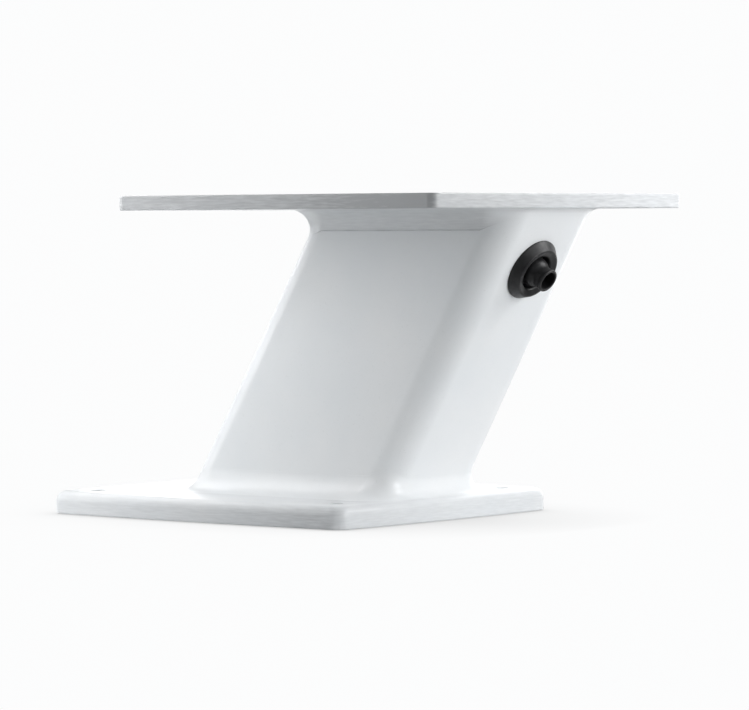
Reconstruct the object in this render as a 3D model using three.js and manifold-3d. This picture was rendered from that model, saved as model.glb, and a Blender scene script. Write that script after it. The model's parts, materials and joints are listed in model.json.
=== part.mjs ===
// Raked mounting pedestal for a marine radar antenna, with a flexible rubber cable boot.
// Millimetres, +Z up, +X aft (the way the column leans), +Y to port.
// The origin is the centre of the base plate's underside.
import * as THREE from 'three';
import { mergeVertices } from 'three/addons/utils/BufferGeometryUtils.js';
import Module from 'manifold-3d';

const wasm = await Module();
wasm.setup();

// Driving dimensions
const OVERALL_HEIGHT = 200;
const WELD_GAP = 0.3; // air left between a weld and the column that it runs round

const BASE = { length: 238, width: 208, bow: 4, corner: 9, thickness: 14, edgeRound: 6 };
const BASE_BOLT = { x: 98, y: 82, hole: 9 };
const CABLE_OPENING = { length: 66, width: 50, corner: 18, centreX: 45 };

const TOP = { length: 250, width: 250, corner: 6, thickness: 9, centreX: 83.5 };
const TOP_BOLT = { x: 100, y: 70.5, hole: 10.5 };
const EDGE_BREAK = 0.8;

// The column's section is given at ground level; it leans aft and tapers as it rises.
const COLUMN = { length: 165, width: 91.5, corner: 19, wall: 5, footX: 13, lean: 0.588, taper: 0.037 };
const WELD_RADIUS = { foot: 14, head: 12 };
const WELD_PINCH = 0.4; // the welds narrow by this share where the column nears the plates' aft edges

// The boot sits on the column's aft face. Radii and heights are in its own axis, from that face.
const BOOT_HEIGHT = 154.4;
const BOOT = {
  flange: 19.8, rim: 16.5, crest: 15.2, rimHeight: 6.2, bore: 11.3, neck: 15.7, lip: 18.4, lipDepth: 7.2,
  webOuter: 11, webInner: 9.5, webThickness: 2, pivot: 2.5,
  dome: 9.2, domeInside: 7.5, spout: 7, mouth: 7.4, cableBore: 5.7, spoutLength: 15,
};

const CORNER_STEPS = 9;
const SIDE_STEPS = 10;
const ROUND_STEPS = 40;

const PAINT = { color: 0xf3f5f7, roughness: 0.28, metalness: 0.0 };
const RUBBER = { color: 0x17181a, roughness: 0.62, metalness: 0.0 };

const group = new THREE.Group();
group.name = 'radar_pedestal';

// ---- outlines and lofts -------------------------------------------------------------------

// Anticlockwise points of a rounded rectangle; a bow swells the middle of each side outwards.
function outlinePoints({ halfX, halfY, corner, bow = 0 }) {
  const points = [];
  const sideSteps = bow > 0 ? SIDE_STEPS : 1;
  const cornerSigns = [[1, 1], [-1, 1], [-1, -1], [1, -1]];
  cornerSigns.forEach(([signX, signY], quarter) => {
    for (let i = 0; i <= CORNER_STEPS; i += 1) {
      const angle = (quarter + i / CORNER_STEPS) * Math.PI / 2;
      const x = signX * (halfX - corner) + corner * Math.cos(angle);
      const y = signY * (halfY - corner) + corner * Math.sin(angle);
      points.push(new THREE.Vector2(x, y));
    }
    const sideStart = points[points.length - 1];
    const [nextX, nextY] = cornerSigns[(quarter + 1) % 4];
    const along = quarter % 2 === 0;
    const sideEnd = new THREE.Vector2(
      nextX * (along ? halfX - corner : halfX),
      nextY * (along ? halfY : halfY - corner),
    );
    for (let i = 1; i < sideSteps; i += 1) {
      points.push(sideStart.clone().lerp(sideEnd, i / sideSteps));
    }
  });
  return points.map(({ x, y }) => new THREE.Vector2(
    x + Math.sign(x) * bow * Math.abs(x / halfX) * (1 - (y / halfY) ** 2),
    y + Math.sign(y) * bow * Math.abs(y / halfY) * (1 - (x / halfX) ** 2),
  ));
}

// Outward direction of a rounded rectangle at one of its points.
function outwardNormal(x, y, { halfX, halfY, corner }) {
  const centreX = THREE.MathUtils.clamp(x, corner - halfX, halfX - corner);
  const centreY = THREE.MathUtils.clamp(y, corner - halfY, halfY - corner);
  return new THREE.Vector2(x - centreX, y - centreY).normalize();
}

// A solid through the same outline at several levels. Each level has its height z, the shift x of
// its centre, its scale, and grow(normalX), the distance by which its edge moves outwards.
function loft(outline, levels) {
  const spans = levels.length - 1;
  const shape = new THREE.Shape(outlinePoints(outline));
  const geometry = new THREE.ExtrudeGeometry(shape, { depth: spans, steps: spans, bevelEnabled: false });
  const position = geometry.getAttribute('position');
  for (let i = 0; i < position.count; i += 1) {
    const x = position.getX(i);
    const y = position.getY(i);
    const level = levels[Math.round(position.getZ(i))];
    const normal = outwardNormal(x, y, outline);
    const scale = level.scale ?? 1;
    const grow = level.grow ? level.grow(normal.x) : 0;
    position.setXYZ(i, x * scale + normal.x * grow + (level.x ?? 0), y * scale + normal.y * grow, level.z);
  }
  return geometry;
}

// ---- solids -------------------------------------------------------------------------------

function toSolid(geometry) {
  const bare = geometry.clone();
  bare.deleteAttribute('normal');
  bare.deleteAttribute('uv');
  const merged = mergeVertices(bare, 1e-4);
  const vertProperties = new Float32Array(merged.getAttribute('position').array);
  const triVerts = new Uint32Array(merged.getIndex().array);
  return new wasm.Manifold(new wasm.Mesh({ numProp: 3, vertProperties, triVerts }));
}

function toGeometry(solid) {
  const mesh = solid.getMesh();
  const geometry = new THREE.BufferGeometry();
  geometry.setAttribute('position', new THREE.BufferAttribute(mesh.vertProperties, 3));
  geometry.setIndex(new THREE.BufferAttribute(mesh.triVerts, 1));
  return geometry;
}

// The solid less every cutter.
function cut(geometry, cutters) {
  const solid = cutters.reduce((rest, cutter) => rest.subtract(toSolid(cutter)), toSolid(geometry));
  return toGeometry(solid);
}

function addMesh(parent, name, geometry, finish) {
  geometry.computeVertexNormals();
  const mesh = new THREE.Mesh(geometry, new THREE.MeshStandardMaterial(finish));
  mesh.name = name;
  parent.add(mesh);
  return mesh;
}

// A round upright cutter between two heights.
function uprightCutter(x, y, bottom, top, radius) {
  const geometry = new THREE.CylinderGeometry(radius, radius, top - bottom, 24);
  geometry.rotateX(Math.PI / 2);
  geometry.translate(x, y, (bottom + top) / 2);
  return geometry;
}

function boltPositions({ x, y }, centreX) {
  return [[1, 1], [-1, 1], [-1, -1], [1, -1]].map(([signX, signY]) => [centreX + signX * x, signY * y]);
}

// ---- column and welds ---------------------------------------------------------------------

const columnFoot = BASE.thickness;
const columnHead = OVERALL_HEIGHT - TOP.thickness;

function columnLevel(z, grow) {
  return { z, x: COLUMN.footX + COLUMN.lean * z, scale: 1 - COLUMN.taper * z / OVERALL_HEIGHT, grow };
}

function columnOutline(inset = 0) {
  return {
    halfX: COLUMN.length / 2 - inset,
    halfY: COLUMN.width / 2 - inset,
    corner: COLUMN.corner - inset,
  };
}

// How far a round cove stands out from a wall at a height above the plate it stands on.
// The wall leans out by `lean` per unit of height.
function coveReach(height, lean, radius) {
  const slope = Math.hypot(1, lean);
  const tangentHeight = radius * (1 + lean / slope);
  if (height >= tangentHeight) return 0;
  const centre = radius * (lean + slope);
  return centre - Math.sqrt(radius ** 2 - (radius - height) ** 2) - lean * height;
}

function weldRadius(radius, normalX) {
  return radius * (1 - WELD_PINCH * Math.max(0, normalX) ** 4);
}

// One dressed fillet weld: direction +1 rises from the base plate, -1 hangs from the top plate.
function weldGeometry(plateZ, direction, radius) {
  const levelCount = 9;
  const tallest = radius * 1.51;
  const levels = [];
  for (let i = 0; i < levelCount; i += 1) {
    const height = tallest * (i / (levelCount - 1)) ** 1.8;
    const grow = (normalX) => (
      coveReach(height, direction * COLUMN.lean * normalX, weldRadius(radius, normalX))
    );
    levels.push(columnLevel(plateZ + direction * height, grow));
  }
  const clearance = () => WELD_GAP;
  const below = columnLevel(Math.min(plateZ, plateZ + direction * tallest) - 1, clearance);
  const above = columnLevel(Math.max(plateZ, plateZ + direction * tallest) + 1, clearance);
  const ordered = direction > 0 ? levels : levels.reverse();
  return cut(loft(columnOutline(), ordered), [loft(columnOutline(), [below, above])]);
}

// ---- placing of the boot ------------------------------------------------------------------

const aftFaceSlope = COLUMN.lean - COLUMN.taper * COLUMN.length / 2 / OVERALL_HEIGHT;
const aftFaceTilt = Math.atan(aftFaceSlope);
const aftFaceX = COLUMN.footX + COLUMN.length / 2 + aftFaceSlope * BOOT_HEIGHT;

// The boot's own axis is +Z of this group: square to the aft face, pointing aft and down.
const bootMount = new THREE.Group();
bootMount.position.set(aftFaceX, 0, BOOT_HEIGHT);
bootMount.rotation.y = Math.PI / 2 + aftFaceTilt;
bootMount.updateMatrixWorld(true);

// A solid of revolution about the boot's axis, from a closed list of [radius, height] points.
function turned(profile) {
  const points = [...profile, profile[0]].map(([radius, height]) => new THREE.Vector2(radius, height));
  const geometry = new THREE.LatheGeometry(points, ROUND_STEPS);
  geometry.rotateX(Math.PI / 2);
  return toGeometry(toSolid(geometry));
}

// Points of a sphere about the boot's pivot, between two heights above the column's face.
function spherePoints(radius, fromHeight, toHeight, steps) {
  const points = [];
  for (let i = 0; i <= steps; i += 1) {
    const height = fromHeight + (toHeight - fromHeight) * i / steps;
    points.push([Math.sqrt(radius ** 2 - (height - BOOT.pivot) ** 2), height]);
  }
  return points;
}

// ---- the parts ----------------------------------------------------------------------------

function makeBasePlate() {
  const { length, width, bow, corner, thickness, edgeRound } = BASE;
  const outline = { halfX: length / 2, halfY: width / 2, corner, bow };
  const levels = [
    { z: 0, grow: () => -EDGE_BREAK },
    { z: EDGE_BREAK },
    { z: thickness - edgeRound },
  ];
  const roundSteps = 5;
  for (let i = 1; i <= roundSteps; i += 1) {
    const angle = i / roundSteps * Math.PI / 2;
    levels.push({
      z: thickness - edgeRound * (1 - Math.sin(angle)),
      grow: () => -edgeRound * (1 - Math.cos(angle)),
    });
  }
  const opening = {
    halfX: CABLE_OPENING.length / 2,
    halfY: CABLE_OPENING.width / 2,
    corner: CABLE_OPENING.corner,
  };
  const { centreX } = CABLE_OPENING;
  const cutters = [loft(opening, [{ z: -1, x: centreX }, { z: thickness + 1, x: centreX }])];
  for (const [x, y] of boltPositions(BASE_BOLT, 0)) {
    cutters.push(uprightCutter(x, y, -1, thickness + 1, BASE_BOLT.hole / 2));
  }
  addMesh(group, 'base_plate', cut(loft(outline, levels), cutters), PAINT);
}

function makeTopPlate() {
  const outline = { halfX: TOP.length / 2, halfY: TOP.width / 2, corner: TOP.corner };
  const broken = () => -EDGE_BREAK;
  const levels = [
    { z: columnHead, x: TOP.centreX, grow: broken },
    { z: columnHead + EDGE_BREAK, x: TOP.centreX },
    { z: OVERALL_HEIGHT - EDGE_BREAK, x: TOP.centreX },
    { z: OVERALL_HEIGHT, x: TOP.centreX, grow: broken },
  ];
  const cutters = boltPositions(TOP_BOLT, TOP.centreX).map(
    ([x, y]) => uprightCutter(x, y, columnHead - 1, OVERALL_HEIGHT + 1, TOP_BOLT.hole / 2),
  );
  addMesh(group, 'top_plate', cut(loft(outline, levels), cutters), PAINT);
}

function makeColumn() {
  const outside = loft(columnOutline(), [columnLevel(columnFoot), columnLevel(columnHead)]);
  const inside = loft(columnOutline(COLUMN.wall), [columnLevel(columnFoot - 1), columnLevel(columnHead + 1)]);
  const bootHole = new THREE.CylinderGeometry(BOOT.neck + WELD_GAP, BOOT.neck + WELD_GAP, 30, ROUND_STEPS);
  bootHole.rotateX(Math.PI / 2);
  bootHole.applyMatrix4(bootMount.matrixWorld);
  addMesh(group, 'column', cut(outside, [inside, bootHole]), PAINT);
}

function makeWelds() {
  addMesh(group, 'base_weld', weldGeometry(columnFoot, 1, WELD_RADIUS.foot), PAINT);
  addMesh(group, 'top_weld', weldGeometry(columnHead, -1, WELD_RADIUS.head), PAINT);
}

// The flange grips the edge of the column's hole between its outer skirt and its inner lip.
function makeBootFlange() {
  const wall = COLUMN.wall * Math.cos(aftFaceTilt);
  const profile = [
    [BOOT.bore, -BOOT.lipDepth],
    [BOOT.lip, -BOOT.lipDepth],
    [BOOT.lip, -wall - WELD_GAP],
    [BOOT.neck, -wall - WELD_GAP],
    [BOOT.neck, WELD_GAP],
    [BOOT.flange, WELD_GAP],
    [BOOT.flange, 1.3],
    [BOOT.rim, BOOT.rimHeight - 0.9],
    [BOOT.crest, BOOT.rimHeight],
    [BOOT.bore + 0.5, BOOT.rimHeight - 1.1],
    [BOOT.bore, BOOT.rimHeight - 1.6],
  ];
  addMesh(bootMount, 'boot_flange', turned(profile), RUBBER);
}

// The thin web lets the spout tip any way; its edge is part of a sphere about the pivot.
function makeBootWeb() {
  const low = BOOT.pivot - BOOT.webThickness / 2;
  const high = BOOT.pivot + BOOT.webThickness / 2;
  const profile = [[BOOT.webInner, low], ...spherePoints(BOOT.webOuter, low, high, 2), [BOOT.webInner, high]];
  addMesh(bootMount, 'boot_web', turned(profile), RUBBER);
}

function makeBootSpout() {
  const low = BOOT.pivot - 1.5;
  const domeTop = BOOT.pivot + Math.sqrt(BOOT.dome ** 2 - BOOT.spout ** 2);
  const insideTop = BOOT.pivot + Math.sqrt(BOOT.domeInside ** 2 - BOOT.cableBore ** 2);
  const profile = [
    ...spherePoints(BOOT.dome, low, domeTop, 7),
    [BOOT.spout, BOOT.spoutLength - 2],
    [BOOT.mouth, BOOT.spoutLength - 1.2],
    [BOOT.mouth, BOOT.spoutLength - 0.4],
    [BOOT.mouth - 0.4, BOOT.spoutLength],
    [BOOT.cableBore, BOOT.spoutLength],
    ...spherePoints(BOOT.domeInside, insideTop, low, 5),
  ];
  addMesh(bootMount, 'boot_spout', turned(profile), RUBBER);
}

makeBasePlate();
makeColumn();
makeTopPlate();
makeWelds();
makeBootFlange();
makeBootWeb();
makeBootSpout();
group.add(bootMount);

export default group;
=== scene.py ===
"""Looks for a raked radar pedestal: painted metal shells and a flexible rubber cable boot.

Everything is in metres in the CAD frame: +X aft (the way the column leans), +Y to port, +Z up.
"""

import json
import math

import bmesh
import bpy
import numpy as np
from mathutils import Matrix, Vector


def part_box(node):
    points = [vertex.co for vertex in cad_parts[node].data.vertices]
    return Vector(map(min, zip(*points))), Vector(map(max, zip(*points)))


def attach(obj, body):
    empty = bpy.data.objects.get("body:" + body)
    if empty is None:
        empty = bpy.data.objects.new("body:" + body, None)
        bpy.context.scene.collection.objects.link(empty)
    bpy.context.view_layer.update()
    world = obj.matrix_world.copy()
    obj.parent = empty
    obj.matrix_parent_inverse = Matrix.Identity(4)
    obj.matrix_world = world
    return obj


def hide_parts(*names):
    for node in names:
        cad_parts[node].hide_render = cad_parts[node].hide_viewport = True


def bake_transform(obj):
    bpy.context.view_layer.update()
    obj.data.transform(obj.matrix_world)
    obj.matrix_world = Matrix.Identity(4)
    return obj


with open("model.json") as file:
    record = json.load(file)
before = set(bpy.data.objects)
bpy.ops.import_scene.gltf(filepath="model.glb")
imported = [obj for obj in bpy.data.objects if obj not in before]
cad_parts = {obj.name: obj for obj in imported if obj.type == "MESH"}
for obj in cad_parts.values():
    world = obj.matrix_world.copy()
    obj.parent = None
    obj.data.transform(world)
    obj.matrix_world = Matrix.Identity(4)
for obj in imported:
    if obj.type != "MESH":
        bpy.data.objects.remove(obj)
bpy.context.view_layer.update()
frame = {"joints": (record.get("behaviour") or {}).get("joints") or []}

MM = 0.001

# ---- driving dimensions (metres and plain ratios) ------------------------------------------

LEAN = 0.588  # how far the column's centre moves aft per unit of height
TAPER = 0.037  # share by which the column's section shrinks over the overall height
WALL = 5 * MM
COLUMN_CORNER = 19 * MM

BASE_BOW = 4 * MM
BASE_CORNER = 9 * MM
BASE_ROUND = 6 * MM
BASE_BOLT = (98 * MM, 82 * MM)  # half spacings of the bolt holes along X and Y
BASE_HOLE = 4.5 * MM
CABLE_OPENING = {"half": (33 * MM, 25 * MM), "corner": 18 * MM, "centre": 45 * MM}

TOP_CORNER = 6 * MM
TOP_BOLT = (100 * MM, 70.5 * MM)
TOP_HOLE = 5.25 * MM
EDGE_BREAK = 0.8 * MM
HOLE_LIP = 0.6 * MM  # rounding of the rims of holes
HOLD = 0.5 * MM  # gap between a rounded edge and the ring that keeps the flat beside it flat
SINK = 0.15 * MM  # hidden overlap where one welded piece stands on another

# Each weld has two values: 1 is the foot weld, which rises from the base plate, and -1 is the
# head weld, which hangs from the top plate.
WELD_RADIUS = {1: 14 * MM, -1: 12 * MM}
WELD_PINCH = 0.4  # share by which the radius shrinks on the aft side
WELD_PROUD = {1: 0.08 * MM, -1: 0.35 * MM}  # step at the toe on the column's wide walls
WELD_CORNER_PROUD = 0.08  # share of that step that is left at the corners and on the narrow walls
WELD_TOE_ANGLE = {1: 6, -1: 16}  # degrees between the cove and the wide walls where they meet
WELD_TOE = [  # the toe's end: rise in mm, share of the step
    (0.3, 1.0),
    (0.5, 0.9),
    (0.65, 0.6),
    (0.75, 0.2),
    (0.85, -0.4),
]
WELD_SPREAD = 0.3 * MM  # how far the buried plate toe reaches past the cove
WELD_LIFT = 0.05 * MM  # height of the cove's first ring above the plate
WELD_BITE = 1.5 * MM  # how far the weld's hidden side reaches into the wall
WELD_STEPS = 20

# Edge marks: how much of the cut and dressed texture shows on a surface. The same marks grey the coat
# as painted shade: on the plates' edges, in the holes and along the welds.
BASE_CUT_AND_SHADE = 0.4
TOP_CUT_AND_SHADE = 0.8
HOLE_CUT_AND_SHADE = 0.5
AFT_SHADE = 1.5  # extra share of the mark at the aft ends of the plates' sides: painted shade that darkens them towards that end
WELD_FOOT_SHADE = 0.4  # painted shade in the crease where a weld meets its plate
# painted shade along the head weld's cove under the top plate; none on the foot weld
WELD_COVE_SHADE = {1: 0.0, -1: 0.45}
# painted shade as a dark line at the head weld's toe; none on the foot weld
WELD_TOE_SHADE = {1: 0.0, -1: 1.0}

SEGMENTS = 112  # round the boot's axis
PLATE_CREASE = 32  # degrees from which an edge is kept sharp
WELD_CREASE = 50
BOOT_CREASE = 60

# ---- sizes read from the frame --------------------------------------------------------------

base_low, base_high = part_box("base_plate")
top_low, top_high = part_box("top_plate")
column_low, column_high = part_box("column")
foot_z, head_z, height = base_high.z, top_low.z, top_high.z


def section_scale(z):
    return 1 - TAPER * z / height


def column_sizes():
    """Half length, half width and centre of the column's section, all at ground level."""
    span = column_high.x - column_low.x - LEAN * (head_z - foot_z)
    half_length = span / (section_scale(foot_z) + section_scale(head_z))
    half_width = column_high.y / section_scale(foot_z)
    centre = column_low.x + half_length * section_scale(foot_z) - LEAN * foot_z
    return half_length, half_width, centre


column_half_x, column_half_y, column_x = column_sizes()

# ---- mesh helpers ---------------------------------------------------------------------------


class Shell:
    """Points, faces and edge marks of one piece, gathered ring by ring."""

    def __init__(self):
        self.points = []
        self.faces = []
        self.marks = []

    def ring(self, points, mark=0.0):
        """Adds a ring of points. The mark is one value, or one for each point."""
        start = len(self.points)
        self.points.extend(tuple(float(c) for c in p) for p in points)
        self.marks.extend(float(m) for m in np.broadcast_to(mark, len(points)))
        return list(range(start, len(self.points)))

    def bridge(self, lower, upper):
        """A band of faces between two rings."""
        count = len(lower)
        for i in range(count):
            j = (i + 1) % count
            self.faces.append((lower[i], lower[j], upper[j], upper[i]))

    def stack(self, rings):
        for lower, upper in zip(rings, rings[1:]):
            self.bridge(lower, upper)

    def fill(self, loops):
        """A flat face inside the first closed loop and outside the others."""
        flat = bmesh.new()
        numbers = {}
        edges = []
        for loop in loops:
            corners = [flat.verts.new(self.points[i]) for i in loop]
            numbers.update(zip(corners, loop))
            for i, corner in enumerate(corners):
                edges.append(flat.edges.new((corner, corners[(i + 1) % len(corners)])))
        made = bmesh.ops.triangle_fill(flat, use_beauty=True, edges=edges, normal=(0, 0, 1))
        for item in made["geom"]:
            if isinstance(item, bmesh.types.BMFace):
                self.faces.append(tuple(numbers[corner] for corner in item.verts))
        flat.free()


def to_mesh(name, shell, sharp_degrees=PLATE_CREASE):
    """A mesh with outward faces, smooth shading and creases kept sharp."""
    mesh = bpy.data.meshes.new(name)
    mesh.from_pydata(shell.points, [], shell.faces)
    attribute = mesh.attributes.new("edge_mark", "FLOAT", "POINT")
    attribute.data.foreach_set("value", np.array(shell.marks, np.float32))
    finish_shading(mesh, sharp_degrees)
    return mesh


def finish_shading(mesh, sharp_degrees):
    """Merges doubled points, turns the faces outwards and marks the sharp edges."""
    work = bmesh.new()
    work.from_mesh(mesh)
    bmesh.ops.remove_doubles(work, verts=work.verts, dist=1e-7)
    bmesh.ops.recalc_face_normals(work, faces=work.faces)
    limit = math.radians(sharp_degrees)
    for face in work.faces:
        face.smooth = True
    for edge in work.edges:
        edge.smooth = len(edge.link_faces) == 2 and edge.calc_face_angle(0) < limit
    work.to_mesh(mesh)
    work.free()


def to_piece(name, mesh, material):
    piece = bpy.data.objects.new(name, mesh)
    bpy.context.scene.collection.objects.link(piece)
    mesh.materials.clear()
    mesh.materials.append(material)
    return piece


def fix_to_pedestal(piece, node):
    """Lets a piece ride on the pedestal in place of its CAD node."""
    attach(piece, "pedestal")
    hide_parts(node)


# ---- outlines -------------------------------------------------------------------------------


def side_fractions(length, steps):
    """Places along a straight side: one close to each end, the rest evenly spread."""
    near = min(1.5 * MM / length, 0.2)
    inner = np.linspace(near, 1 - near, steps)
    return list(inner)


def rounded_outline(half_x, half_y, corner, corner_steps=20, side_steps=9, bow=0.0):
    """Anticlockwise points of a rounded rectangle with bowed sides, and the outward normals."""
    points, normals = [], []
    signs = [(1, 1), (-1, 1), (-1, -1), (1, -1)]
    for quarter, (sx, sy) in enumerate(signs):
        centre = np.array([sx * (half_x - corner), sy * (half_y - corner)])
        for i in range(corner_steps + 1):
            angle = (quarter + i / corner_steps) * math.pi / 2
            normal = np.array([math.cos(angle), math.sin(angle)])
            points.append(centre + corner * normal)
            normals.append(normal)
        end_normal = normals[-1]
        nx, ny = signs[(quarter + 1) % 4]
        following = np.array([nx * (half_x - corner), ny * (half_y - corner)]) + corner * end_normal
        start = points[-1]
        for t in side_fractions(np.linalg.norm(following - start), side_steps):
            points.append(start + (following - start) * t)
            normals.append(end_normal)
    return bow_outline(np.array(points), np.array(normals), half_x, half_y, bow)


def bow_outline(points, normals, half_x, half_y, bow):
    """Swells the middle of each side, and turns the normals to match."""
    x, y = points.T
    a, b = bow / half_x, bow / half_y
    stretch_x = 1 + a * (1 - (y / half_y) ** 2)
    stretch_y = 1 + b * (1 - (x / half_x) ** 2)
    shear_x = -2 * a * x * y / half_y**2
    shear_y = -2 * b * x * y / half_x**2
    turned = np.c_[
        stretch_y * normals[:, 0] - shear_y * normals[:, 1],
        stretch_x * normals[:, 1] - shear_x * normals[:, 0],
    ]
    turned /= np.linalg.norm(turned, axis=1)[:, None]
    return np.c_[x * stretch_x, y * stretch_y], turned


def level(points, normals, inset, z, centre_x=0.0):
    """An outline at a height, moved inwards by inset."""
    moved = points - normals * inset
    return np.c_[moved[:, 0] + centre_x, moved[:, 1], np.full(len(moved), z)]


def quarter_round(radius, steps):
    """Pairs (inset, drop) from the side of a rounded edge to its top."""
    angles = [i / steps * math.pi / 2 for i in range(steps + 1)]
    return [(radius * (1 - math.cos(a)), radius * (1 - math.sin(a))) for a in angles]


def circle(centre, radius, z, count=40):
    angles = np.linspace(0, 2 * math.pi, count, endpoint=False)
    x = centre[0] + radius * np.cos(angles)
    y = centre[1] + radius * np.sin(angles)
    return np.c_[x, y, np.full(count, z)]


# ---- plates ---------------------------------------------------------------------------------


def side_cut_and_shade(outline, cut_and_shade):
    """Edge marks round a plate, which grey it as painted shade: they grow along the side edges
    towards their aft ends.
    """
    points, normals = outline
    half_length = points[:, 0].max()
    along = 0.5 + 0.5 * points[:, 0] / half_length
    return cut_and_shade * (1 + AFT_SHADE * along**3 * np.abs(normals[:, 1]) ** 4)


def plate_wall(shell, outline, bottom, top, low_round, high_round, centre_x, cut_and_shade):
    """The rounded outer wall of a plate. Returns the rings that bound its two flat faces."""
    points, normals = outline
    cut_and_shade = side_cut_and_shade(outline, cut_and_shade)

    def ring(inset, z, mark):
        return shell.ring(level(points, normals, inset, z, centre_x), mark)

    rings = [ring(low_round + HOLD, bottom, 0.0)]
    for inset, drop in reversed(quarter_round(low_round, 5)):
        rings.append(ring(inset, bottom + drop, cut_and_shade))
    rings.append(ring(0, bottom + low_round + HOLD, cut_and_shade))
    rings.append(ring(0, top - high_round - HOLD, cut_and_shade))
    steps = 5 if high_round < 2 * MM else 12
    for inset, drop in quarter_round(high_round, steps):
        share = 1 - inset / max(high_round, 1e-9)
        rings.append(ring(inset, top - drop, cut_and_shade * share))
    rings.append(ring(high_round + HOLD, top, 0.0))
    shell.stack(rings)
    return rings[0], rings[-1]


def round_hole(shell, centre, bottom, top, radius):
    """The wall of an upright hole. Returns the loops it leaves in the lower and upper faces."""
    arc = quarter_round(HOLE_LIP, 4)
    profile = [(radius + HOLE_LIP + HOLD, bottom)]
    profile += [(radius + inset, bottom + drop) for inset, drop in arc[::-1]]
    profile += [(radius + inset, top - drop) for inset, drop in arc]
    profile += [(radius + HOLE_LIP + HOLD, top)]
    rings = [shell.ring(circle(centre, r, z, 48), HOLE_CUT_AND_SHADE) for r, z in profile]
    shell.stack(rings)
    return rings[0], rings[-1]


def cable_opening(shell, bottom, top):
    """The wall of the rounded opening under the column. Returns its lower and upper loops."""
    outline = rounded_outline(*CABLE_OPENING["half"], CABLE_OPENING["corner"], side_steps=3)
    profile = [
        (-HOLE_LIP, bottom),
        (0, bottom + HOLE_LIP),
        (0, top - HOLE_LIP),
        (-HOLE_LIP, top),
    ]
    rings = []
    for inset, z in profile:
        rings.append(shell.ring(level(*outline, inset, z, CABLE_OPENING["centre"]), HOLE_CUT_AND_SHADE))
    shell.stack(rings)
    return rings[0], rings[-1]


def close_faces(shell, loops):
    """Fills a plate's two flat faces. Each pair holds a lower and an upper loop, outer pair first."""
    lows, highs = zip(*loops)
    shell.fill(lows)
    shell.fill(highs)


def bolt_centres(spacing, centre_x):
    """Four hole centres, given their half spacings."""
    return [(centre_x + sx * spacing[0], sy * spacing[1]) for sx in (1, -1) for sy in (1, -1)]


def make_base_plate(material):
    half_x = base_high.x - BASE_BOW
    half_y = base_high.y - BASE_BOW
    bottom, top = base_low.z, base_high.z
    outline = rounded_outline(half_x, half_y, BASE_CORNER, side_steps=40, bow=BASE_BOW)
    shell = Shell()
    loops = [plate_wall(shell, outline, bottom, top, EDGE_BREAK, BASE_ROUND, 0.0, BASE_CUT_AND_SHADE)]
    for centre in bolt_centres(BASE_BOLT, 0.0):
        loops.append(round_hole(shell, centre, bottom, top, BASE_HOLE))
    loops.append(cable_opening(shell, bottom, top))
    close_faces(shell, loops)
    mesh = to_mesh("base_plate_shell", shell)
    piece = to_piece("base_plate_shell", mesh, material)
    fix_to_pedestal(piece, "base_plate")


def make_top_plate(material):
    centre_x = (top_low.x + top_high.x) / 2
    half_x = (top_high.x - top_low.x) / 2
    outline = rounded_outline(half_x, top_high.y, TOP_CORNER, side_steps=30)
    shell = Shell()
    wall = (outline, head_z, height, EDGE_BREAK, EDGE_BREAK, centre_x, TOP_CUT_AND_SHADE)
    loops = [plate_wall(shell, *wall)]
    for centre in bolt_centres(TOP_BOLT, centre_x):
        loops.append(round_hole(shell, centre, head_z, height, TOP_HOLE))
    close_faces(shell, loops)
    mesh = to_mesh("top_plate_shell", shell)
    piece = to_piece("top_plate_shell", mesh, material)
    fix_to_pedestal(piece, "top_plate")


# ---- column and welds -----------------------------------------------------------------------


def column_ring(points, normals, z, grow):
    """The column's outline at a height, moved outwards by grow, which may differ point by point."""
    scale = section_scale(z)
    x = column_x + LEAN * z + points[:, 0] * scale + normals[:, 0] * grow
    y = points[:, 1] * scale + normals[:, 1] * grow
    return np.c_[x, y, np.broadcast_to(z, x.shape)]


def column_outline(inset=0.0):
    return rounded_outline(
        column_half_x - inset,
        column_half_y - inset,
        COLUMN_CORNER - inset,
        corner_steps=28,
        side_steps=24,
    )


def make_column(material, boot_frame):
    shell = Shell()
    heights = np.linspace(foot_z - SINK, head_z + SINK, 16)
    outside = [shell.ring(column_ring(*column_outline(), z, 0.0)) for z in heights]
    inside = [shell.ring(column_ring(*column_outline(WALL), z, 0.0)) for z in heights]
    shell.stack(outside)
    shell.stack(inside[::-1])
    shell.bridge(inside[0], outside[0])
    shell.bridge(outside[-1], inside[-1])
    mesh = to_mesh("column_shell", shell)
    piece = to_piece("column_shell", mesh, material)
    bore_through(piece, boot_frame)
    fix_to_pedestal(piece, "column")


def bore_through(piece, boot_frame):
    """Cuts the boot's hole in the column's aft wall."""
    drill = Shell()
    ends = (-DRILL_REACH, DRILL_REACH)
    rings = [drill.ring(turned_ring(boot_frame, BOOT_HOLE, h)) for h in ends]
    drill.stack(rings)
    drill.faces.append(tuple(rings[0][::-1]))
    drill.faces.append(tuple(rings[1]))
    cutter = bpy.data.objects.new("cutter", to_mesh("cutter", drill))
    bpy.context.scene.collection.objects.link(cutter)
    boolean = piece.modifiers.new("bore", "BOOLEAN")
    boolean.operation = "DIFFERENCE"
    boolean.solver = "EXACT"
    boolean.object = cutter
    graph = bpy.context.evaluated_depsgraph_get()
    cut = bpy.data.meshes.new_from_object(piece.evaluated_get(graph))
    piece.modifiers.clear()
    piece.data = cut
    bpy.data.objects.remove(cutter)
    finish_shading(cut, PLATE_CREASE)


def weld_radius(normals, direction):
    """The fillet's radius round the column: pinched at the aft side, and dressed by hand."""
    x, y = normals.T
    angle = np.arctan2(y, x)
    phase = 1.0 + direction
    hand = 0.015 * np.sin(3 * angle + phase) + 0.012 * np.sin(7 * angle + 2 * phase)
    return WELD_RADIUS[direction] * (1 - WELD_PINCH * np.maximum(0, x) ** 4) * (1 + hand)


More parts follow.
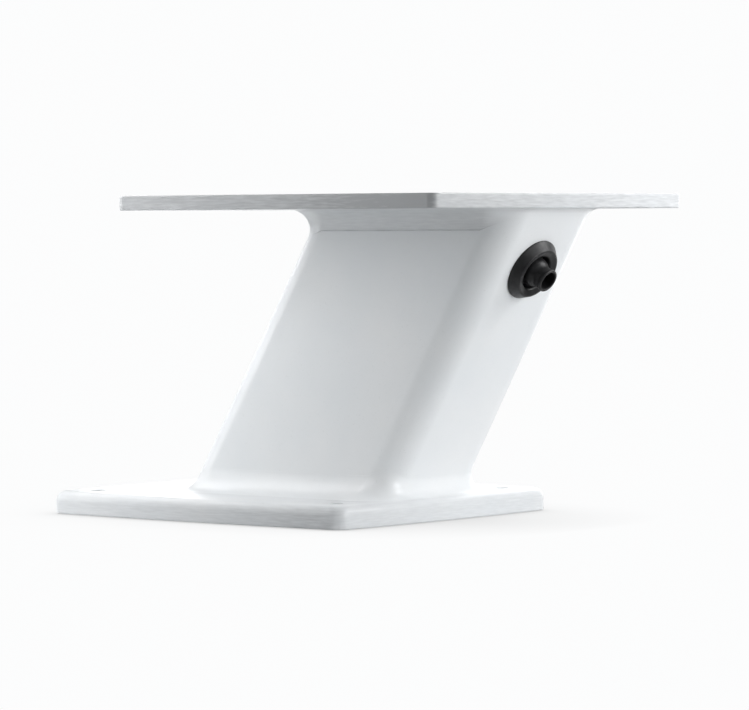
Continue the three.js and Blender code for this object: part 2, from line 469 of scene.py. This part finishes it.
def weld_rings(shell, plate_z, direction):
    """Rings from the plate's toe up the cove to the wall's toe, then back inside the wall."""
    points, normals = column_outline()
    spread = (points * normals).sum(1)
    lean = direction * (LEAN * normals[:, 0] - TAPER * spread / height)
    radius = weld_radius(normals, direction)
    full_sweep = math.pi / 2 + np.arctan(lean)
    side = np.abs(normals[:, 1]) ** 20  # 1 on the wide walls, fading fast into the corners
    sweep = full_sweep - math.radians(WELD_TOE_ANGLE[direction]) * side
    radius = radius * (1 - np.cos(full_sweep)) / (1 - np.cos(sweep))
    centre = radius * (np.sin(sweep) + lean * (1 - np.cos(sweep)))
    proud = WELD_PROUD[direction] * (WELD_CORNER_PROUD + (1 - WELD_CORNER_PROUD) * side)

    def ring(rise, grow, mark):
        """rise is the height above the plate, grow the distance out from the wall there."""
        z = plate_z + direction * rise
        return shell.ring(column_ring(points, normals, z, grow), mark)

    # The marks on these rings are painted shade: in the crease at the plate, along the head weld's
    # cove and at its toe.
    rings = [ring(np.full(len(points), -SINK), centre + WELD_SPREAD, WELD_FOOT_SHADE)]
    for i in range(WELD_STEPS + 1):
        turn = sweep * i / WELD_STEPS
        rise = radius * (1 - np.cos(turn))
        grow = centre - radius * np.sin(turn) - lean * rise
        lift = WELD_LIFT * (1 - i / WELD_STEPS)
        rings.append(ring(rise + lift, grow + proud, WELD_COVE_SHADE[direction] * side))
    toe = radius * (1 - np.cos(sweep))
    for rise, share in WELD_TOE:
        rings.append(ring(toe + rise * MM, proud * share, WELD_TOE_SHADE[direction] * side))
    rings.append(ring(toe + 0.5 * MM, np.full(len(points), -WELD_BITE), 0.0))
    rings.append(ring(np.full(len(points), -SINK), np.full(len(points), -WELD_BITE), 0.0))
    return rings


def make_weld(name, node, plate_z, direction, material):
    shell = Shell()
    rings = weld_rings(shell, plate_z, direction)
    shell.stack(rings)
    shell.bridge(rings[-1], rings[0])
    mesh = to_mesh(name, shell, sharp_degrees=WELD_CREASE)
    piece = to_piece(name, mesh, material)
    fix_to_pedestal(piece, node)


# ---- rubber boot ----------------------------------------------------------------------------

BOOT_HOLE = 16.0 * MM
DRILL_REACH = 15 * MM  # how far the hole's cutter reaches to each side of the column's face
PIVOT_HEIGHT = 2.5 * MM  # the pivot of both hinges above the column's face
FLANGE_PROFILE = [  # radius, height above the column's face, rounding, all in mm
    (11.3, -7.2, 0.5),
    (18.4, -7.2, 0.8),
    (18.4, -4.5, 0.6),
    (15.7, -4.5, 0.2),
    (15.7, 0.03, 0.1),
    (19.8, 0.03, 0.2),
    (19.8, 1.1, 0.5),
    (16.7, 5.2, 0.9),
    (16.0, 6.2, 0.9),
    (14.9, 6.2, 1.2),
    (11.9, 5.0, 0.6),
    (11.3, 4.2, 0.4),
]
WEB_PROFILE = [  # as for the flange
    (11.6, -3.6, 0.1),
    (11.35, -2.3, 0.3),
    (10.7, -2.2, 0.4),
    (10.35, -0.9, 0.1),
    (9.3, -1.1, 0.1),
    (9.6, -2.9, 0.5),
    (10.3, -3.9, 0.4),
    (11.6, -3.9, 0.1),
]
WEB_BEND = (-3.4, -1.1)  # mm above the column's face, where the web bends
SPOUT_BEND = (-1.1, 1.3)
DOME_RADIUS = 9.2  # mm, outside
DOME_INSIDE = 7.5  # mm, inside


def boot_matrix():
    """Maps the boot's own axes (Z outwards along its axis, Y up the face) to the frame."""
    joints = {joint["name"]: joint for joint in frame["joints"]}
    up = Vector(joints["boot_yaw"]["axis"]).normalized()
    across = Vector(joints["boot_pitch"]["axis"]).normalized()
    outward = across.cross(up)
    origin = Vector(joints["boot_yaw"]["pos_m"]) - outward * PIVOT_HEIGHT
    matrix = Matrix((across, up, outward)).transposed().to_4x4()
    matrix.translation = origin
    return matrix


def turned_ring(matrix, radius, rise):
    """A circle about the boot's axis, at a height above the column's face."""
    angles = np.linspace(0, 2 * math.pi, SEGMENTS, endpoint=False)
    local = [Vector((radius * math.cos(a), radius * math.sin(a), rise)) for a in angles]
    return [matrix @ p for p in local]


def round_profile(profile, steps=4):
    """Replaces each corner of a closed profile by an arc of its own rounding radius."""
    corners = np.array([(r, h) for r, h, _ in profile])
    result = []
    for i, (_, _, radius) in enumerate(profile):
        before = corners[i - 1] - corners[i]
        after = corners[(i + 1) % len(profile)] - corners[i]
        to_before = before / np.linalg.norm(before)
        to_after = after / np.linalg.norm(after)
        half = math.acos(float(np.clip(to_before @ to_after, -1, 1))) / 2
        longest = 0.45 * min(np.linalg.norm(before), np.linalg.norm(after))
        reach = min(radius / math.tan(half), longest)
        start = corners[i] + to_before * reach
        end = corners[i] + to_after * reach
        for t in np.linspace(0, 1, steps + 1):
            curve = (1 - t) ** 2 * start + 2 * t * (1 - t) * corners[i] + t**2 * end
            result.append(curve)
    return result


def densify(profile, spacing):
    """Adds points along the long straight parts of a closed profile."""
    result = []
    for i, start in enumerate(profile):
        end = profile[(i + 1) % len(profile)]
        count = max(1, int(np.linalg.norm(end - start) / spacing))
        result.extend(start + (end - start) * k / count for k in range(count))
    return result


def turned_piece(name, profile, matrix, material, spacing=0.6):
    """A closed solid of revolution from a profile in mm, with points at most a spacing apart."""
    shell = Shell()
    dense = densify([np.array(p, float) for p in profile], spacing)
    rings = [shell.ring(turned_ring(matrix, r * MM, h * MM)) for r, h in dense]
    shell.stack(rings)
    shell.bridge(rings[-1], rings[0])
    mesh = to_mesh(name, shell, sharp_degrees=BOOT_CREASE)
    return to_piece(name, mesh, material)


def make_boot_flange(material, matrix):
    piece = turned_piece("boot_flange_moulding", round_profile(FLANGE_PROFILE), matrix, material)
    fix_to_pedestal(piece, "boot_flange")


def boot_point(matrix, rise):
    """A point on the boot's axis, rise millimetres above the column's face."""
    return tuple(matrix @ Vector((0, 0, rise * MM)))


def make_boot_web(material, matrix):
    piece = turned_piece("boot_web_skin", round_profile(WEB_PROFILE), matrix, material, 0.3)
    start, end = boot_point(matrix, WEB_BEND[0]), boot_point(matrix, WEB_BEND[1])
    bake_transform(piece)
    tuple(start)
    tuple(end)
    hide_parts("boot_web")


def sphere_arc(radius, low, high, steps):
    """Profile points on a sphere about the pivot, between two heights above the face."""
    heights = np.linspace(low, high, steps + 1)
    pivot = PIVOT_HEIGHT / MM
    return [(math.sqrt(radius**2 - (h - pivot) ** 2), h) for h in heights]


def make_boot_spout(material, matrix):
    skirt = [(10.4, -1.2), (10.3, -0.7), (9.95, 0.1), (9.55, 0.8), (9.3, 1.5)]
    dome = sphere_arc(DOME_RADIUS, 2.3, 7.9, 14)
    neck = [(7.3, 8.35), (7.06, 8.75), (6.98, 9.4), (6.96, 12.4)]
    mouth = [(7.02, 12.9), (7.24, 13.3), (7.4, 13.8), (7.38, 14.3), (7.15, 14.72), (6.75, 14.95)]
    inside = [(6.4, 15.0), (6.05, 14.9), (5.8, 14.65), (5.7, 14.3), (5.7, 7.7)]
    cavity = sphere_arc(DOME_INSIDE, 0.8, 7.0, 8)[::-1]
    underside = [(7.4, 0.0), (7.9, -0.7), (8.6, -1.3), (9.3, -1.5), (10.0, -1.45)]
    profile = skirt + dome + neck + mouth + inside + cavity + underside
    piece = turned_piece("boot_spout_moulding", profile, matrix, material, 0.45)
    start, end = boot_point(matrix, SPOUT_BEND[0]), boot_point(matrix, SPOUT_BEND[1])
    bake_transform(piece)
    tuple(start)
    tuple(end)
    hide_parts("boot_spout")


# ---- materials ------------------------------------------------------------------------------


class Nodes:
    """A short way to write the node tree of a material or a world."""

    def __init__(self, owner):
        owner.use_nodes = True
        self.owner = owner
        self.tree = owner.node_tree
        self.tree.nodes.clear()

    def add(self, kind, **values):
        """A new node. Each value goes to the input of that name, or else to the setting."""
        node = self.tree.nodes.new(kind)
        for key, value in values.items():
            if key in node.inputs:
                node.inputs[key].default_value = value
            else:
                setattr(node, key, value)
        return node

    def link(self, source, target):
        self.tree.links.new(source, target)

    def noise(self, coordinates, scale, detail=2.0, roughness=0.5):
        node = self.add("ShaderNodeTexNoise", Scale=scale, Detail=detail, Roughness=roughness)
        self.link(coordinates, node.inputs["Vector"])
        return node.outputs["Fac"]

    def remap(self, value, low, high, from_low=0.3, from_high=0.7):
        node = self.add("ShaderNodeMapRange")
        node.inputs["From Min"].default_value = from_low
        node.inputs["From Max"].default_value = from_high
        node.inputs["To Min"].default_value = low
        node.inputs["To Max"].default_value = high
        self.link(value, node.inputs["Value"])
        return node.outputs["Result"]

    def mix(self, factor, first, second):
        node = self.add("ShaderNodeMix", data_type="RGBA")
        self.put(factor, node.inputs[0])
        self.put(first, node.inputs[6])
        self.put(second, node.inputs[7])
        return node.outputs[2]

    def math(self, operation, first, second):
        node = self.add("ShaderNodeMath", operation=operation)
        self.put(first, node.inputs[0])
        self.put(second, node.inputs[1])
        return node.outputs[0]

    def put(self, value, target):
        """Links a socket to an input, or sets the input to a plain value."""
        if isinstance(value, bpy.types.NodeSocket):
            self.link(value, target)
        else:
            target.default_value = value

    def bump(self, height, strength, distance, below=None):
        node = self.add("ShaderNodeBump", Strength=strength, Distance=distance)
        self.link(height, node.inputs["Height"])
        if below is not None:
            self.link(below, node.inputs["Normal"])
        return node.outputs["Normal"]

    def mix_shader(self, factor, first, second=None):
        """A blend of two shaders. Without a second one, the first fades to nothing."""
        node = self.add("ShaderNodeMixShader")
        self.link(factor, node.inputs[0])
        self.link(first, node.inputs[1])
        if second is not None:
            self.link(second, node.inputs[2])
        return node.outputs[0]

    def finish(self, surface, kind="ShaderNodeOutputMaterial"):
        output = self.add(kind)
        self.link(surface, output.inputs["Surface"])
        return self.owner


# Texture scales are in waves per metre.
PAINT_TINTS = {
    "cool": (0.780, 0.810, 0.832, 1),
    "warm": (0.835, 0.850, 0.860, 1),
    "speck": (0.70, 0.72, 0.73, 1),
    # the grey of the painted shade on marked plate edges, holes and welds
    "painted_shade": (0.42, 0.435, 0.45, 1),
}
CLOUD_SCALE = 16.0
SPECK_SCALE = 700.0
CUT_STRETCH = (90.0, 90.0, 900.0)  # the cut marks are long along the plates' edges
HAZE_SCALE = 30.0
HAZE = (0.285, 0.35)  # lowest and highest roughness of the coat
WORN_HAZE = 0.10  # extra roughness where the coat is worn
PEEL_SCALE, PEEL_HEIGHT = 330.0, 0.03 * MM
GRAIN_SCALE, GRAIN_HEIGHT = 1500.0, 0.006 * MM
CUT_HEIGHT = 0.15 * MM


def paint_material():
    """Gloss white powder coat: cool white, faint orange peel, coarser over the cut edges, and greyed
    by painted shade wherever an edge is marked.
    """
    n = Nodes(bpy.data.materials.new("white_powder_coat"))
    place = n.add("ShaderNodeTexCoord").outputs["Object"]
    mark = n.add("ShaderNodeAttribute", attribute_name="edge_mark").outputs["Fac"]
    stretch = n.add("ShaderNodeMapping", Scale=CUT_STRETCH)
    n.link(place, stretch.inputs["Vector"])
    cut_marks = n.noise(stretch.outputs["Vector"], 1.0, 3.0)

    haze = n.remap(n.noise(place, HAZE_SCALE, 2.0), *HAZE, 0.2, 0.8)
    haze = n.math("ADD", haze, n.math("MULTIPLY", mark, WORN_HAZE))
    peel = n.bump(n.noise(place, PEEL_SCALE, 2.0), 0.25, PEEL_HEIGHT)
    grain = n.bump(n.noise(place, GRAIN_SCALE, 2.0), 0.3, GRAIN_HEIGHT, peel)
    cut = n.bump(n.math("MULTIPLY", cut_marks, mark), 0.5, CUT_HEIGHT, grain)

    shader = n.add("ShaderNodeBsdfPrincipled", IOR=1.5)
    shader.inputs["Coat Weight"].default_value = 0.12
    shader.inputs["Coat Roughness"].default_value = 0.12
    n.link(paint_tint(n, place, mark, cut_marks), shader.inputs["Base Color"])
    n.link(haze, shader.inputs["Roughness"])
    n.link(cut, shader.inputs["Normal"])
    return n.finish(shader.outputs["BSDF"])


def paint_tint(n, place, mark, cut_marks):
    """The coat's colour: soft clouds, small specks, and grey streaks of painted shade where an edge
    is marked.
    """
    clouds = n.remap(n.noise(place, CLOUD_SCALE, 4.0), 0.0, 1.0, 0.25, 0.75)
    tint = n.mix(clouds, PAINT_TINTS["cool"], PAINT_TINTS["warm"])
    specks = n.remap(n.noise(place, SPECK_SCALE, 1.0), 0.0, 0.35, 0.66, 0.80)
    tint = n.mix(specks, tint, PAINT_TINTS["speck"])
    # painted shade: grey streaks wherever the edge marks stand
    painted_shade = n.math("MULTIPLY", mark, n.remap(cut_marks, 0.55, 0.95))
    return n.mix(painted_shade, tint, PAINT_TINTS["painted_shade"])


RUBBER_TINTS = {"clean": (0.007, 0.007, 0.008, 1), "bloom": (0.026, 0.027, 0.028, 1)}
BLOOM_SCALE = 180.0
RUBBER_ROUGH_SCALE = 420.0
RUBBER_ROUGHNESS = (0.33, 0.48)
FLOW_SCALE, FLOW_HEIGHT = 260.0, 0.2 * MM
RUBBER_GRAIN_SCALE, RUBBER_GRAIN_HEIGHT = 1900.0, 0.06 * MM


def rubber_material():
    """Matt black moulded rubber with a fine grain and a faint grey bloom."""
    n = Nodes(bpy.data.materials.new("black_boot_rubber"))
    place = n.add("ShaderNodeTexCoord").outputs["Object"]
    bloom = n.remap(n.noise(place, BLOOM_SCALE, 5.0, 0.6), 0.0, 0.6, 0.45, 0.75)
    tint = n.mix(bloom, RUBBER_TINTS["clean"], RUBBER_TINTS["bloom"])
    rough = n.remap(n.noise(place, RUBBER_ROUGH_SCALE, 3.0), *RUBBER_ROUGHNESS)
    flow = n.bump(n.noise(place, FLOW_SCALE, 3.0), 0.4, FLOW_HEIGHT)
    grain = n.bump(n.noise(place, RUBBER_GRAIN_SCALE, 2.0), 0.5, RUBBER_GRAIN_HEIGHT, flow)
    shader = n.add("ShaderNodeBsdfPrincipled")
    shader.inputs["Specular IOR Level"].default_value = 0.34
    shader.inputs["Sheen Weight"].default_value = 0.06
    n.link(tint, shader.inputs["Base Color"])
    n.link(rough, shader.inputs["Roughness"])
    n.link(grain, shader.inputs["Normal"])
    return n.finish(shader.outputs["BSDF"])


# ---- stage, light and camera ----------------------------------------------------------------

BACKDROP = (0.975, 0.978, 0.98)
SURROUND = 0.35  # how bright the room looks in reflections
SURROUND_TINT = (0.97, 0.985, 1.0, 1)
STAGE_CENTRE = (0.08, 0.0)
FLOOR_TINT = (0.8, 0.806, 0.812, 1)
FLOOR_Z = -0.6 * MM
FLOOR_RINGS = (9.0, 2.0, 1.0, 0.5, 0.02)  # radii
BOUNCE_FADE = (0.3, 1.0)  # distances between which the floor stops giving light back
CONTACT_REACH = 0.12  # how far from the object its contact shadow is seen


def make_floor():
    """A large pale floor, as even as a lit sweep, seen only from above."""
    shell = Shell()
    rings = [shell.ring(circle(STAGE_CENTRE, r, FLOOR_Z, 96)) for r in FLOOR_RINGS]
    shell.stack(rings)
    shell.faces.append(tuple(rings[-1]))
    floor = bpy.data.objects.new("floor", to_mesh("floor", shell))
    bpy.context.scene.collection.objects.link(floor)
    floor.data.materials.append(floor_material())


def floor_material():
    n = Nodes(bpy.data.materials.new("pale_floor"))
    camera_ray = n.add("ShaderNodeLightPath").outputs["Is Camera Ray"]
    floor = n.mix_shader(camera_ray, floor_bounce(n), floor_tone(n))
    underside = n.add("ShaderNodeBsdfTransparent").outputs[0]
    # The floor's faces point down, so that Backfacing is 1 where it is seen from above.
    from_above = n.add("ShaderNodeNewGeometry").outputs["Backfacing"]
    return n.finish(n.mix_shader(from_above, underside, floor))


def floor_bounce(n):
    """What the floor gives back to the object: matt and pale near it, nothing far away."""
    place = n.add("ShaderNodeTexCoord").outputs["Object"]
    distance = n.add("ShaderNodeVectorMath", operation="LENGTH")
    n.link(place, distance.inputs[0])
    fade = n.add("ShaderNodeMapRange", interpolation_type="SMOOTHSTEP")
    fade.inputs["From Min"].default_value = BOUNCE_FADE[0]
    fade.inputs["From Max"].default_value = BOUNCE_FADE[1]
    n.link(distance.outputs["Value"], fade.inputs["Value"])
    matt = n.add("ShaderNodeBsdfDiffuse", Color=FLOOR_TINT)
    return n.mix_shader(fade.outputs["Result"], matt.outputs[0])


def floor_tone(n):
    """What the camera sees: one pale tone and a soft contact shadow."""
    contact = n.add("ShaderNodeAmbientOcclusion", samples=16, Distance=CONTACT_REACH)
    shade = n.remap(contact.outputs["AO"], 0.62, 1.0, 0.0, 1.0)
    seen = n.add("ShaderNodeEmission")
    n.link(n.mix(shade, (0.0, 0.0, 0.0, 1), (*BACKDROP, 1)), seen.inputs["Color"])
    return seen.outputs[0]


def make_world():
    """The backdrop as seen, and a dimmer surround for reflections."""
    world = bpy.data.worlds.new("studio")
    bpy.context.scene.world = world
    n = Nodes(world)
    seen = n.add("ShaderNodeBackground", Color=(*BACKDROP, 1))
    surround = n.add("ShaderNodeBackground", Color=SURROUND_TINT)
    ray = n.add("ShaderNodeLightPath")
    gleam = n.math("MULTIPLY", ray.outputs["Is Glossy Ray"], SURROUND)
    n.link(gleam, surround.inputs["Strength"])
    sky = n.mix_shader(ray.outputs["Is Camera Ray"], surround.outputs[0], seen.outputs[0])
    n.finish(sky, "ShaderNodeOutputWorld")


LIGHT_TARGET = Vector((*STAGE_CENTRE, 0.1))


def add_softbox(name, azimuth, elevation, distance, size, power):
    """A square softbox aimed at the object. Azimuth 0 is on the -Y side, 90 on the +X side."""
    a, e = math.radians(azimuth), math.radians(elevation)
    back = Vector((math.sin(a) * math.cos(e), -math.cos(a) * math.cos(e), math.sin(e)))
    light = bpy.data.lights.new(name, "AREA")
    light.shape = "SQUARE"
    light.size = size
    light.energy = power
    box = bpy.data.objects.new(name, light)
    box.location = LIGHT_TARGET + back * distance
    box.rotation_mode = "QUATERNION"
    box.rotation_quaternion = (-back).to_track_quat("-Z", "Y")
    box.visible_camera = False
    bpy.context.scene.collection.objects.link(box)
    return box


SOFTBOXES = [  # name, azimuth, elevation, distance, size, power
    ("aft_port_box", 122, 32, 0.45, 0.22, 0.88),
    ("port_low_box", 180, 2, 0.6, 0.4, 0.8),
    ("port_high_box", 200, 32, 0.6, 0.4, 1.0),
    ("fore_high_box", 270, 30, 0.45, 0.22, 0.42),
    ("fore_low_box", 300, 2, 0.45, 0.22, 0.36),
    ("fore_star_box", 300, 32, 0.45, 0.22, 0.45),
    ("starboard_high_box", 340, 26, 0.8, 0.5, 2.3),
    ("aft_far_box", 98, 6, 2.0, 1.2, 29.0),
    ("fore_far_box", 255, 12, 2.0, 1.2, 3.0),
]
SHEEN_BOX = ("port_sheen_box", 222, 9, 0.9, 0.45, 1.2)  # seen only as a reflection


def make_lights():
    for box in SOFTBOXES:
        add_softbox(*box)
    add_softbox(*SHEEN_BOX).visible_diffuse = False


CAMERA_HEADING = 39.31  # degrees from the +Y direction towards -X
CAMERA_PITCH = 2.0
CAMERA_ROLL = -0.29
CAMERA_PLACE = (1.5806, -1.8554, 0.1840)
CAMERA_LENS = 184.8
CAMERA_SENSOR = 36


def make_camera():
    """The photographer's view: its heading, a slight downward pitch and a slight roll."""
    heading, pitch, roll = map(math.radians, (CAMERA_HEADING, CAMERA_PITCH, CAMERA_ROLL))
    look = Vector((-math.sin(heading), math.cos(heading), 0)) * math.cos(pitch)
    look.z = -math.sin(pitch)
    right = Vector((math.cos(heading), math.sin(heading), 0))
    up = right.cross(look)
    rolled_right = right * math.cos(roll) + up * math.sin(roll)
    rolled_up = up * math.cos(roll) - right * math.sin(roll)
    data = bpy.data.cameras.new("camera")
    data.sensor_width = CAMERA_SENSOR
    data.lens = CAMERA_LENS
    data.clip_start = 0.05
    data.clip_end = 60
    camera = bpy.data.objects.new("camera", data)
    matrix = Matrix((rolled_right, rolled_up, -look)).transposed().to_4x4()
    matrix.translation = Vector(CAMERA_PLACE)
    camera.matrix_world = matrix
    bpy.context.scene.collection.objects.link(camera)
    bpy.context.scene.camera = camera


# ---- build ----------------------------------------------------------------------------------


def build():
    paint = paint_material()
    rubber = rubber_material()
    boot = boot_matrix()
    make_base_plate(paint)
    make_top_plate(paint)
    make_column(paint, boot)
    make_weld("base_weld_fillet", "base_weld", foot_z, 1, paint)
    make_weld("top_weld_fillet", "top_weld", head_z, -1, paint)
    make_boot_flange(rubber, boot)
    make_boot_web(rubber, boot)
    make_boot_spout(rubber, boot)
    make_floor()
    make_world()
    make_lights()
    make_camera()
    bpy.context.scene.view_settings.view_transform = "Standard"


build()
